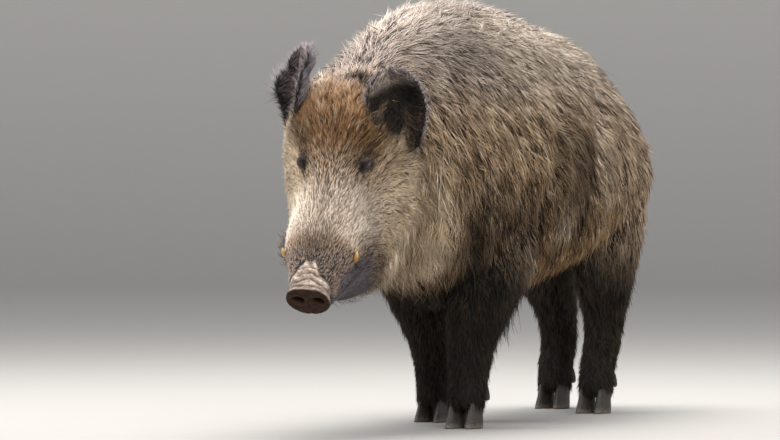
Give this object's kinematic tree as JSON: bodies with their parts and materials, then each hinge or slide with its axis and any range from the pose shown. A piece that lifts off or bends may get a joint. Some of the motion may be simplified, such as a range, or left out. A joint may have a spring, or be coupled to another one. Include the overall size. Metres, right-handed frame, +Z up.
{
  "type": "wild boar, life-size still model",
  "caption": "Adult male wild boar in winter coat, standing on four feet with its head hung low: a still, life-size model.",
  "frame": {"origin": "on the floor, under the middle of the bounding box", "axes": "+Z up, the animal faces -Y, and its left side is +X"},
  "size_m": [0.4546, 1.65, 0.908],
  "materials": {
    "coat": "coarse grizzled winter coat over a dark skin",
    "leg_coat": "short black-brown hair",
    "nose": "bare damp skin, finely creased",
    "hoof": "worn dark horn",
    "tusk": "stained ivory",
    "eye": "wet and glossy, dark brown"
  },
  "bodies": {
    "root": {"trunk": "coat", "neck": "coat", "head": "coat", "lower_jaw": "coat", "nose_disc": "nose", "eye_left": "eye", "ear_left": "leg_coat", "tusk_left": "tusk", "eye_right": "eye", "ear_right": "leg_coat", "tusk_right": "tusk", "tail": "coat", "foreleg_left": "leg_coat", "hoof_foreleg_left_outer": "hoof", "dewclaw_foreleg_left_outer": "hoof", "hoof_foreleg_left_inner": "hoof", "dewclaw_foreleg_left_inner": "hoof", "foreleg_right": "leg_coat", "hoof_foreleg_right_outer": "hoof", "dewclaw_foreleg_right_outer": "hoof", "hoof_foreleg_right_inner": "hoof", "dewclaw_foreleg_right_inner": "hoof", "hindleg_left": "leg_coat", "hoof_hindleg_left_outer": "hoof", "dewclaw_hindleg_left_outer": "hoof", "hoof_hindleg_left_inner": "hoof", "dewclaw_hindleg_left_inner": "hoof", "hindleg_right": "leg_coat", "hoof_hindleg_right_outer": "hoof", "dewclaw_hindleg_right_outer": "hoof", "hoof_hindleg_right_inner": "hoof", "dewclaw_hindleg_right_inner": "hoof"}
  },
  "joints": []
}
